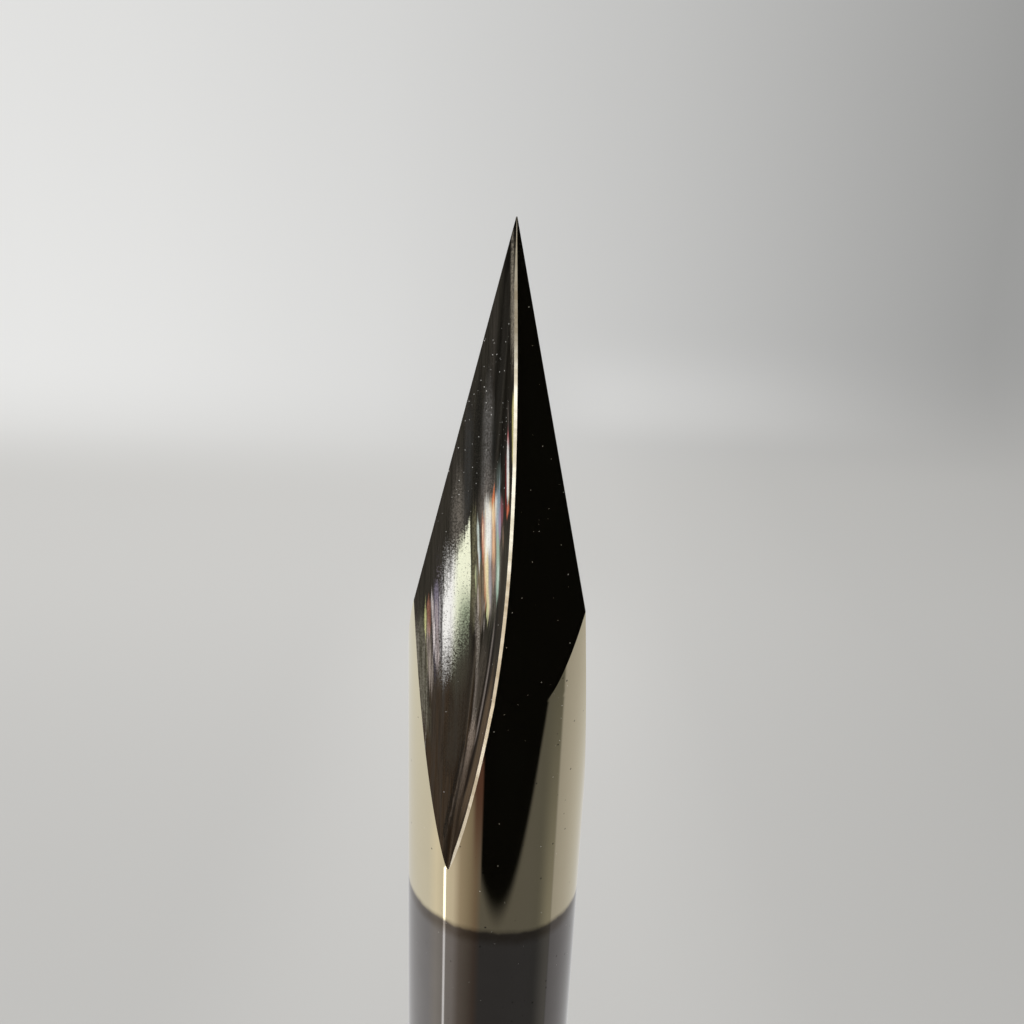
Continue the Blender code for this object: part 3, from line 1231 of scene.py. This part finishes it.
@dataclass(frozen=True)
class PaintedHighlightPatch:
    """The painted highlight: a wide bright patch painted low on the wall of the cutting edge, in millimetres.

    Its upper rim falls away from its inner edge, and its lower rim falls a little. Both are
    ragged along the grinding lines, and its outer edge has a thin part beyond a whole one.
    """

    edge: float = -1.13
    edge_drift: float = 0.08
    drift_depths: Span = (9.0, 11.2)
    edge_blur: Span = (-0.02, 0.02)
    top: float = 9.25
    top_fall: float = 3.2
    top_bow: float = -0.95
    top_blur: float = 0.14
    top_blur_growth: float = 2.1
    bottom: float = 12.5
    bottom_fall: float = 1.35
    bottom_lines: Span = (0.0, 0.7)
    bottom_blur: Span = (-1.7, 1.6)
    ragged: float = 1.3
    wisps: float = 0.35
    outer: Span = (-1.97, -1.86)
    outer_thin: Span = (-2.3, -2.1)
    outer_thin_share: float = 0.42
    grain_swing: float = 1.5
    grain_from: Span = (0.0, 0.15)
    pits: Span = (0.30, 0.44)
    pits_left: float = 0.55
    line_thinned: Span = (0.30, 0.55)
    line_thinned_left: float = 0.84
    cover: Span = (0.0, 1.15)
    strength: float = 1.15
    # Painted highlight colours: cream, white over its middle lines, lilac at its outer edge and green low
    # down
    cream: Colour = (0.98, 1.00, 0.76)
    white: Colour = (1.00, 0.98, 0.94)
    white_lines: Span = (-1.42, -1.70)
    lilac: Colour = (0.42, 0.37, 0.42)
    lilac_lines: Span = (-1.90, -2.10)
    green: Colour = (0.44, 0.50, 0.34)
    green_depths: Span = (11.0, 12.4)
    green_lines: Span = (-1.60, -1.22)

    def shape(self, desk: NodeDesk, line: Socket, depth: Socket, lined: Socket) -> tuple[Socket, Socket]:
        """Find how far the patch covers a point, before the grain breaks it up.

        Args:
            desk: The desk of the material's tree.
            line: The grinding line.
            depth: The depth.
            lined: Noise along the grinding lines.

        Returns:
            The cover, and the mask of its inner edge alone.
        """
        ragged = desk.plus(depth, desk.swing(lined, self.ragged))
        over = desk.math("MAXIMUM", desk.minus(self.edge, line), 0.0)
        fall = desk.plus(self.top_fall, desk.times(over, self.top_bow))
        top = desk.plus(self.top, desk.times(over, fall))
        blur = desk.plus(self.top_blur, desk.times(over, self.top_blur_growth))
        rise = desk.step(desk.minus(ragged, top), desk.times(blur, -1.0), blur)
        bottom = desk.times(desk.step(over, *self.bottom_lines), self.bottom_fall)
        end = desk.step(desk.minus(ragged, desk.plus(self.bottom, bottom)), *self.bottom_blur)
        drift = desk.times(desk.step(depth, *self.drift_depths), self.edge_drift)
        inner = desk.minus(line, desk.plus(drift, self.edge))
        side = desk.minus(1.0, desk.step(inner, *self.edge_blur))
        wisps = desk.plus(line, desk.swing(lined, self.wisps))
        thin = desk.times(desk.step(wisps, *self.outer_thin), self.outer_thin_share)
        outer = desk.between(desk.step(wisps, *self.outer), thin, 1.0)
        return desk.times(rise, desk.minus(1.0, end), side, outer), side

    def lay(
        self,
        desk: NodeDesk,
        line: Socket,
        depth: Socket,
        grain: Socket,
        lined: Socket,
    ) -> tuple[Socket, Socket]:
        """Find where the patch shows and its colour there.

        Args:
            desk: The desk of the material's tree.
            line: The grinding line.
            depth: The depth.
            grain: Grain noise, which breaks up the patch's rim.
            lined: Noise along the grinding lines.

        Returns:
            The mask and the colour.
        """
        whole, side = self.shape(desk, line, depth, lined)
        kept = desk.times(desk.swing(grain, self.grain_swing), desk.step(whole, *self.grain_from))
        pitted = desk.between(desk.step(grain, *self.pits), self.pits_left, 1.0)
        line_thinned = desk.between(desk.step(lined, *self.line_thinned), self.line_thinned_left, 1.0)
        cover = desk.times(desk.step(desk.plus(whole, kept), *self.cover), side, pitted, line_thinned)
        mask = desk.math("MULTIPLY", cover, self.strength, clamp=True)
        tone = desk.mix(desk.step(line, *self.white_lines), self.cream, self.white)
        tone = desk.mix(desk.step(line, *self.lilac_lines), tone, self.lilac)
        low = desk.times(desk.step(depth, *self.green_depths), desk.step(line, *self.green_lines))
        return mask, desk.mix(low, tone, self.green)


@dataclass(frozen=True)
class FluteFinish:
    """A flute as the wheel left it: satin, lined along its length, with bright rainbow streaks.

    The colours here are those that the flute shows, with light, shade and reflections painted in: the
    rainbow streaks, the bright patch and the lit rim are painted highlights. Where it is still a mirror it
    throws back only part of a full white, its gleam, so its base colour is its look divided by that.
    Depths and grinding lines are in millimetres.
    """

    shade: Colour = (0.027, 0.0245, 0.0195)
    brown: Colour = (0.040, 0.028, 0.018)
    brown_depths: Span = (12.0, 16.0)
    pale: Colour = (0.042, 0.037, 0.031)
    pale_lines: Span = (0.42, 0.75)
    dark: Colour = (0.6, 0.6, 0.6)
    dark_lines: Span = (0.55, 0.30)
    fine: LineNoise = LineNoise(22.0, 2.4, 1.0)
    thin: LineNoise = LineNoise(27.0, 3.0, 9.0)
    broad: LineNoise = LineNoise(5.0, 9.0, 4.0)
    grain: Noise = (19.0, 2.0, 0.7)
    speckle: Span = (0.36, 0.62)
    ragged: float = 1.6
    # grain break-up of the painted light and shade bands, the heel-side glints and the rake-side glints
    line_dimmed: StreakBreakup = StreakBreakup(0.25, 0.6, (0.34, 0.54))
    broken: StreakBreakup = StreakBreakup(0.82, 0.64, (0.36, 0.54))
    line_thinned: StreakBreakup = StreakBreakup(0.7, 0.38, (0.42, 0.58))
    # Painted highlight: lit lines low on the wall of the cutting edge
    rim: Colour = (0.21, 0.190, 0.155)
    rim_lines: Span = (-1.85, -2.15)
    rim_top: Span = (12.2, 13.2)
    rim_bottom: float = 15.2
    rim_fall: float = 3.2
    rim_fall_lines: Span = (-2.25, -2.45)
    rim_blur: Span = (0.0, 1.5)
    rim_thin: Span = (0.46, 0.62)
    highlight_patch: PaintedHighlightPatch = field(default_factory=PaintedHighlightPatch)
    dust: Colour = (0.72, 0.70, 0.66)
    dusty_depths: tuple[Span, Span] = ((2.4, 4.0), (9.2, 7.6))
    dust_kept: Span = (0.06, 0.75)
    dust_cells: float = 8.0
    dust_size: float = 0.19
    plain_growth: float = 2.0
    gleams: Span = (0.11, 0.45)
    # painted shade: past the root, on the heel side, the larger gleam divides the base colour down and
    # darkens that wall
    heel_shade_across: Span = (-0.28, -0.04)
    roughness: Span = (0.32, 0.52)
    specular: float = 0.1
    bump_strength: float = 0.35
    bump_height: float = 0.02 * MM
    bump_grain: float = 0.4

    def make(self) -> bpy.types.Material:
        """Build the material.

        Returns:
            The material.
        """
        made, desk, shader = new_material("ground_flute")
        line, across, depth = (desk.attribute(name) for name in ("line", "across", "depth"))
        place = desk.object_place(MM)
        fine = self.fine.lay(desk, line, depth)
        thin = self.thin.lay(desk, line, depth)
        grain = desk.noise(place, *self.grain)
        speckle = desk.step(grain, *self.speckle)
        line_dimmed, broken, line_thinned = (
            breakup.mask(desk, speckle, thin) for breakup in (self.line_dimmed, self.broken, self.line_thinned)
        )
        ragged = desk.plus(depth, desk.swing(fine, self.ragged))
        tone = self.ground(desk, line, depth, thin)
        # painted light and shade bands along the grinding lines
        tone, plain = self.lay(desk, FLUTE_LIGHT_AND_SHADE_BANDS, ragged, line_dimmed, tone, 0.0)
        # painted highlight lines below the patch
        tone = desk.mix(desk.times(self.rim_mask(desk, line, depth, thin), line_dimmed), tone, self.rim)
        # painted highlight patch
        mask, colour = self.highlight_patch.lay(desk, line, depth, grain, fine)
        tone = desk.mix(mask, tone, colour)
        plain = self.plainer(desk, plain, mask)
        # painted rainbow glints and reflection lines
        tone, plain = self.lay(desk, HEEL_SIDE_PAINTED_GLINTS, ragged, broken, tone, plain)
        # painted glints on the wall of the cutting edge
        tone, plain = self.lay(desk, RAKE_SIDE_PAINTED_GLINTS, ragged, line_thinned, tone, plain)
        dusty = desk.between(desk.times(*desk.fades(depth, self.dusty_depths)), *self.dust_kept)
        dust = SPECKS.place(desk, Vector=place, Cells=self.dust_cells, Kept=dusty, Size=self.dust_size)
        tone = desk.mix(dust, tone, self.dust)
        plain = desk.math("MAXIMUM", plain, dust)
        # painted shade on the heel side of the flute: its larger gleam darkens the base colour there
        gleam = desk.between(desk.step(across, *self.heel_shade_across), *self.gleams)
        gleam = desk.between(plain, gleam, 1.0)
        tone = desk.mix(1.0, tone, desk.vector(gleam, gleam, gleam), "DIVIDE")
        desk.feed(shader.inputs["Base Color"], tone)
        desk.feed(shader.inputs["Metallic"], desk.minus(1.0, plain))
        desk.feed(shader.inputs["Roughness"], desk.between(fine, *self.roughness))
        shader.inputs["Specular IOR Level"].default_value = self.specular
        bump = desk.add("Bump")
        bump.inputs["Strength"].default_value = self.bump_strength
        bump.inputs["Distance"].default_value = self.bump_height
        desk.feed(bump.inputs["Height"], desk.plus(fine, desk.times(grain, self.bump_grain)))
        desk.feed(shader.inputs["Normal"], bump.outputs["Normal"])
        return made

    def ground(self, desk: NodeDesk, line: Socket, depth: Socket, thin: Socket) -> Socket:
        """Colour the plain ground surface: browner low down, with pale broad and dark thin lines.

        Args:
            desk: The desk of the material's tree.
            line: The grinding line.
            depth: The depth.
            thin: The thin lines.

        Returns:
            The colour.
        """
        broad = self.broad.lay(desk, line, depth)
        tone = desk.mix(desk.step(depth, *self.brown_depths), self.shade, self.brown)
        tone = desk.mix(desk.step(broad, *self.pale_lines), tone, self.pale)
        return desk.mix(desk.step(thin, *self.dark_lines), tone, desk.mix(1.0, tone, self.dark, "MULTIPLY"))

    def rim_mask(self, desk: NodeDesk, line: Socket, depth: Socket, thin: Socket) -> Socket:
        """Find the painted highlight lines low on the wall of the cutting edge, below the painted highlight
        patch.

        Args:
            desk: The desk of the material's tree.
            line: The grinding line.
            depth: The depth.
            thin: The thin lines.

        Returns:
            The mask.
        """
        fall = desk.times(desk.step(line, *self.rim_fall_lines), self.rim_fall)
        left = desk.minus(desk.plus(self.rim_bottom, fall), depth)
        start = desk.times(desk.step(line, *self.rim_lines), desk.step(depth, *self.rim_top))
        return desk.times(start, desk.step(left, *self.rim_blur), desk.step(thin, *self.rim_thin))

    def plainer(self, desk: NodeDesk, plain: Value, mask: Socket) -> Socket:
        """Make the surface plain where a mask shows, faster than the mask itself grows."""
        return desk.math("MAXIMUM", plain, desk.math("MULTIPLY", mask, self.plain_growth, clamp=True))

    def lay(
        self,
        desk: NodeDesk,
        streaks: Sequence[Streak],
        depth: Socket,
        breakup: Socket,
        tone: Socket,
        plain: Value,
    ) -> tuple[Socket, Value]:
        """Lay streaks over a colour, one after the other.

        Args:
            desk: The desk of the material's tree.
            streaks: The streaks.
            depth: The depth, with a ragged edge.
            breakup: How far each spot of the grain lets a streak show.
            tone: The colour below them.
            plain: How far the surface below them is plain and not a mirror.

        Returns:
            The colour and the plainness with the streaks in them.
        """
        guides = {guide: desk.attribute(guide.value) for guide in Guide}
        for streak in streaks:
            numbers = {name: getattr(streak, name) for name in STREAK_NUMBERS}
            shown = STREAK_MASK.place(desk, Place=guides[streak.guide], Depth=depth, **numbers)
            mask = desk.times(shown, breakup)
            tone = desk.mix(mask, tone, streak.colour)
            plain = self.plainer(desk, plain, mask)
        return tone, plain


@dataclass(frozen=True)
class HeelFinish:
    """The narrow polished break along each heel, with its painted highlight: tones by depth in millimetres.
    """

    # Painted highlight along the heel: dim at the tip, bright lower down, paler, then bright again near the
    # run-out
    tip: Colour = (0.36, 0.33, 0.27)
    bright: Colour = (1.00, 0.98, 0.88)
    bright_from: Span = (3.8, 5.4)
    pale: Colour = (0.66, 0.58, 0.46)
    pale_from: Span = (9.6, 11.6)
    low: Colour = (0.98, 0.88, 0.70)
    low_from: Span = (14.4, 14.7)
    line_dimmed: Colour = (0.7, 0.66, 0.6)
    lines: LineNoise = LineNoise(40.0, 1.2, 7.0)
    bright_lines: Span = (0.35, 0.65)
    uneven: float = 0.8
    uneven_noise: Noise = (2.0, 3.0, 0.5)
    roughness: Span = (0.18, 0.32)

    def make(self) -> bpy.types.Material:
        """Build the material.

        Returns:
            The material.
        """
        made, desk, shader = new_material("heel_break")
        depth = desk.attribute("depth")
        lines = self.lines.lay(desk, desk.attribute("line"), depth)
        noise = desk.noise(desk.object_place(MM), *self.uneven_noise)
        uneven = desk.plus(depth, desk.times(noise, self.uneven))
        tone = desk.mix(desk.step(uneven, *self.bright_from), self.tip, self.bright)
        tone = desk.mix(desk.step(uneven, *self.pale_from), tone, self.pale)
        tone = desk.mix(desk.step(depth, *self.low_from), tone, self.low)
        line_dimmed = desk.mix(1.0, tone, self.line_dimmed, "MULTIPLY")
        desk.feed(shader.inputs["Base Color"], desk.mix(desk.step(lines, *self.bright_lines), line_dimmed, tone))
        shader.inputs["Metallic"].default_value = 1.0
        desk.feed(shader.inputs["Roughness"], desk.between(lines, *self.roughness))
        return made


# The studio


@dataclass(frozen=True)
class PaleSweep:
    """The pale floor, which curves up into a wall behind the bit, in metres.

    Its tones are painted light: they darken from left to right over the painted width, and the floor's
    paint goes over into the wall's by the way from the bit along the floor and up the wall, its reach.
    """

    half_width: float = 4.0
    front: float = -4.0
    wall: float = 0.185
    cove: float = 0.03
    height: float = 3.0
    steps: int = 16
    painted_width: float = 0.25
    # Painted light: the floor and the wall darken from left to right
    floor_tones: tuple[Span, ...] = (
        (0.2, 0.615),
        (0.5, 0.605),
        (0.574, 0.580),
        (0.62, 0.546),
        (0.70, 0.500),
        (0.9, 0.440),
    )
    floor_tint: Colour = (1.0, 0.99, 0.96)
    wall_tones: tuple[Span, ...] = (
        (0.07, 0.78),
        (0.184, 0.757),
        (0.384, 0.687),
        (0.612, 0.553),
        (0.804, 0.414),
        (0.927, 0.333),
    )
    wall_tint: Colour = (1.0, 1.0, 0.985)
    # Painted shade: the floor is darker from a little behind the bit forwards
    near: Span = (0.015, 0.09)
    front_shade_tones: Span = (0.90, 1.0)
    # Painted pool of light: the floor is lighter in a narrow band on the bit's line, up to a little behind it
    light_pool_side: Span = (0.024, 0.008)
    light_pool_back: Span = (0.10, 0.06)
    light_pool_tones: Span = (1.0, 1.085)
    # Painted light: the wall is lighter at its foot and darker higher up
    high: Span = (0.0, 0.09)
    wall_light_tones: Span = (1.025, 0.97)
    wall_reach: Span = (0.118, 0.190)
    right_slant: float = 0.2
    # Painted sheen: a lighter band across the floor and the foot of the wall, right of the bit
    sheen_side: tuple[Span, Span] = ((0.0, 0.025), (0.11, 0.04))
    sheen_reach: tuple[Span, Span] = ((0.158, 0.178), (0.206, 0.182))
    sheen_tones: Span = (1.0, 1.11)
    roughness: float = 0.9

    def build(self) -> bpy.types.Object:
        """Draw the profile of floor, cove and wall, and extrude it sideways.

        Returns:
            The sweep's object.
        """
        bm = bmesh.new()
        left = -self.half_width
        profile = [Vector((left, self.front, 0.0)), Vector((left, self.wall - self.cove, 0.0))]
        for i in range(1, self.steps + 1):
            angle = pi / 2 * i / self.steps
            along = self.wall - self.cove * (1.0 - sin(angle))
            profile.append(Vector((left, along, self.cove * (1.0 - cos(angle)))))
        profile.append(Vector((left, self.wall, self.height)))
        verts = [bm.verts.new(place) for place in profile]
        edges = [bm.edges.new(pair) for pair in zip(verts, verts[1:])]
        moved = grow(bm, edges)[1]
        bmesh.ops.translate(bm, verts=moved, vec=(2 * self.half_width, 0.0, 0.0))
        bmesh.ops.recalc_face_normals(bm, faces=bm.faces)
        made = new_object("pale_floor", bm)
        if made.data.polygons[0].normal.z < 0.0:
            made.data.flip_normals()
        return made

    def paint(self, desk: NodeDesk) -> Socket:
        """Colour the floor and the wall, with the light and shade that lie on them painted in.

        Args:
            desk: The desk of the material's tree.

        Returns:
            The colour.
        """
        axes = desk.axes(desk.object_place())
        x, y, z = axes["X"], axes["Y"], axes["Z"]
        side = desk.plus(desk.math("DIVIDE", x, self.painted_width), 0.5)
        floor = desk.ramp(side, self.stops(self.floor_tones, self.floor_tint))
        floor = desk.shaded(floor, desk.step(y, *self.near), self.front_shade_tones)
        light_pool = desk.times(desk.step(desk.math("ABSOLUTE", x), *self.light_pool_side), desk.step(y, *self.light_pool_back))
        floor = desk.shaded(floor, light_pool, self.light_pool_tones)
        wall = desk.ramp(side, self.stops(self.wall_tones, self.wall_tint))
        wall = desk.shaded(wall, desk.step(z, *self.high), self.wall_light_tones)
        reach = desk.plus(y, z)
        right = desk.times(desk.math("MAXIMUM", x, 0.0), self.right_slant)
        up = desk.step(desk.minus(reach, right), *self.wall_reach)
        sheen = desk.times(*desk.fades(x, self.sheen_side), *desk.fades(reach, self.sheen_reach))
        return desk.shaded(desk.mix(up, floor, wall), sheen, self.sheen_tones)

    def stops(self, tones: Sequence[Span], tint: Colour) -> list[tuple[float, Colour]]:
        """Tint a row of tones."""
        return [(place, dimmed(tint, tone)) for place, tone in tones]

    def dress(self, item: bpy.types.Object) -> None:
        """Paint the sweep and let only the camera's rays see it.

        Args:
            item: The sweep's object.
        """
        made, desk, shader = new_material("pale_floor_paint")
        desk.feed(shader.inputs["Base Color"], self.paint(desk))
        shader.inputs["Roughness"].default_value = self.roughness
        shader.inputs["Specular IOR Level"].default_value = 0.0
        item.data.materials.append(made)
        item.visible_diffuse = False
        item.visible_glossy = False
        item.visible_transmission = False
        item.visible_shadow = False


@dataclass(frozen=True)
class RoundLight:
    """One part of the studio round the bit: its light, and the spans in degrees of its borders."""

    light: Colour
    turn: tuple[Span, ...]
    rise: tuple[Span, ...] = ()

    def mask(self, desk: NodeDesk, turn: Socket, rise: Socket) -> Socket:
        """Mark the directions in which this part stands, by their turn and rise in degrees."""
        return desk.times(*desk.fades(turn, self.turn), *desk.fades(rise, self.rise))


@dataclass(frozen=True)
class BlackFlag(RoundLight):
    """The black flag that stands in front, with its lower end rounded about a middle turn."""

    light: Colour = (0.0015, 0.0014, 0.0010)
    turn: tuple[Span, ...] = ((-17.5, -14.0), (68.0, 62.0))
    rise: tuple[Span, ...] = ((38.0, 30.0),)
    middle: float = 6.5
    spread: float = 260.0
    foot: float = 43.04
    foot_blur: Span = (-0.9, 0.9)

    def mask(self, desk: NodeDesk, turn: Socket, rise: Socket) -> Socket:
        """Mark the directions in which the flag stands.

        Args:
            desk: The desk of the world's tree.
            turn: The direction's turn in degrees.
            rise: The direction's height in degrees.

        Returns:
            The mask.
        """
        off = desk.minus(turn, self.middle)
        curve = desk.math("DIVIDE", desk.times(off, off), self.spread)
        above = desk.minus(rise, desk.minus(curve, self.foot))
        return desk.times(desk.step(above, *self.foot_blur), super().mask(desk, turn, rise))


@dataclass(frozen=True)
class StudioRound:
    """What the polished bit reflects: pale on both sides, a black flag in front and a strip light.

    The colours around stand at their turns in degrees. The other parts are, in order, the strip,
    a panel on the left, a glow low on the right, the pale upper left and a ruddy edge of the flag.
    """

    around: tuple[tuple[float, Colour], ...] = (
        (-180.0, (0.66, 0.66, 0.66)),
        (-95.0, (0.64, 0.63, 0.63)),
        (-80.0, (0.74, 0.70, 0.65)),
        (-70.0, (0.66, 0.62, 0.57)),
        (-53.0, (0.60, 0.55, 0.51)),
        (-43.0, (0.34, 0.29, 0.245)),
        (-32.0, (0.25, 0.21, 0.17)),
        (-22.0, (0.165, 0.125, 0.10)),
        (-14.0, (0.112, 0.107, 0.102)),
        (50.0, (0.11, 0.107, 0.103)),
        (84.0, (0.10, 0.10, 0.09)),
        (87.5, (0.36, 0.35, 0.35)),
        (110.0, (0.44, 0.43, 0.43)),
        (160.0, (0.66, 0.66, 0.66)),
        (180.0, (0.66, 0.66, 0.66)),
    )
    parts: tuple[RoundLight, ...] = (
        RoundLight((2.2, 2.2, 2.2), ((-68.55, -67.05), (-63.85, -65.35))),
        RoundLight((1.2, 1.16, 1.08), ((-89.0, -79.0), (-35.0, -45.0)), ((-18.0, -10.0), (34.0, 26.0))),
        RoundLight((0.25, 0.24, 0.215), ((60.0, 85.0), (88.0, 84.0)), ((-25.0, -48.0),)),
        RoundLight((0.73, 0.74, 0.75), ((-180.0, -172.0), (-76.0, -84.0)), ((-40.0, -24.0),)),
        RoundLight((0.090, 0.045, 0.036), ((-29.5, -22.5), (-8.5, -15.5)), ((-42.0, -36.0),)),
        BlackFlag(),
    )
    plain_light: Colour = (1.0, 1.0, 1.0)
    backdrop: Colour = (0.72, 0.72, 0.72)
    right_backdrop: Colour = (0.42, 0.42, 0.415)
    right_turns: Span = (52.0, 90.0)

    def build(self) -> None:
        """Write the world's nodes: the studio for reflections, plain light for the rest."""
        world = bpy.data.worlds.new("studio_round")
        bpy.context.scene.world = world
        world.use_nodes = True
        desk = NodeDesk(world.node_tree)
        axes = desk.axes(desk.add("TexCoord").outputs["Generated"])
        turn = desk.math("DEGREES", desk.math("ARCTAN2", axes["X"], desk.times(axes["Y"], -1.0)))
        rise = desk.math("DEGREES", desk.math("ARCSINE", axes["Z"]))
        share = desk.plus(desk.math("DIVIDE", turn, 360.0), 0.5)
        studio = desk.ramp(share, [(angle / 360.0 + 0.5, colour) for angle, colour in self.around])
        for part in self.parts:
            studio = desk.mix(part.mask(desk, turn, rise), studio, part.light)
        path = desk.add("LightPath")
        light = desk.mix(path.outputs["Is Glossy Ray"], self.plain_light, studio)
        backdrop = desk.mix(desk.step(turn, *self.right_turns), self.backdrop, self.right_backdrop)
        light = desk.mix(path.outputs["Is Camera Ray"], light, backdrop)
        background = desk.add("Background")
        desk.feed(background.inputs["Color"], light)
        output = desk.add("OutputWorld")
        desk.feed(output.inputs["Surface"], background.outputs[0])


@dataclass(frozen=True)
class PhotoCamera:
    """The camera at the photograph's angle: its place, its three angles in radians and its lens."""

    place: Vector = field(default_factory=lambda: Vector((0.0, -28.541 * MM, 51.821 * MM)))
    pitch: float = 0.3426
    pan: float = 0.0066
    roll: float = 0.0384
    lens: float = 32.78
    sensor: float = 36.0
    clip: Span = (0.001, 10.0)

    def build(self) -> None:
        """Make the camera and look through it."""
        level = cos(self.pitch)
        ahead = Vector((sin(self.pan) * level, cos(self.pan) * level, -sin(self.pitch)))
        right = ahead.cross(Vector((0.0, 0.0, 1.0))).normalized()
        up = right.cross(ahead)
        side = cos(self.roll) * right + sin(self.roll) * up
        top = -sin(self.roll) * right + cos(self.roll) * up
        data = bpy.data.cameras.new("photo_camera")
        data.lens = self.lens
        data.sensor_width = self.sensor
        data.clip_start, data.clip_end = self.clip
        made = bpy.data.objects.new("photo_camera", data)
        turned = Matrix((side, top, -ahead)).transposed().to_4x4()
        made.matrix_world = Matrix.Translation(self.place) @ turned
        bpy.context.scene.collection.objects.link(made)
        bpy.context.scene.camera = made


def main() -> None:
    """Build the bit, its studio and the camera, and report each piece."""
    logging.basicConfig(level=logging.INFO, format="%(message)s")
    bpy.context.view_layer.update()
    bit = RouterBit()
    piece = bit.build()
    bit.dress(piece)
    log.info("%s: %d points, %d faces", piece.name, len(piece.data.vertices), len(piece.data.polygons))
    sweep = PaleSweep()
    floor = sweep.build()
    sweep.dress(floor)
    log.info("%s: %d faces", floor.name, len(floor.data.polygons))
    StudioRound().build()
    PhotoCamera().build()
    bpy.context.scene.view_settings.view_transform = "Standard"


if __name__ == "__main__":
    main()
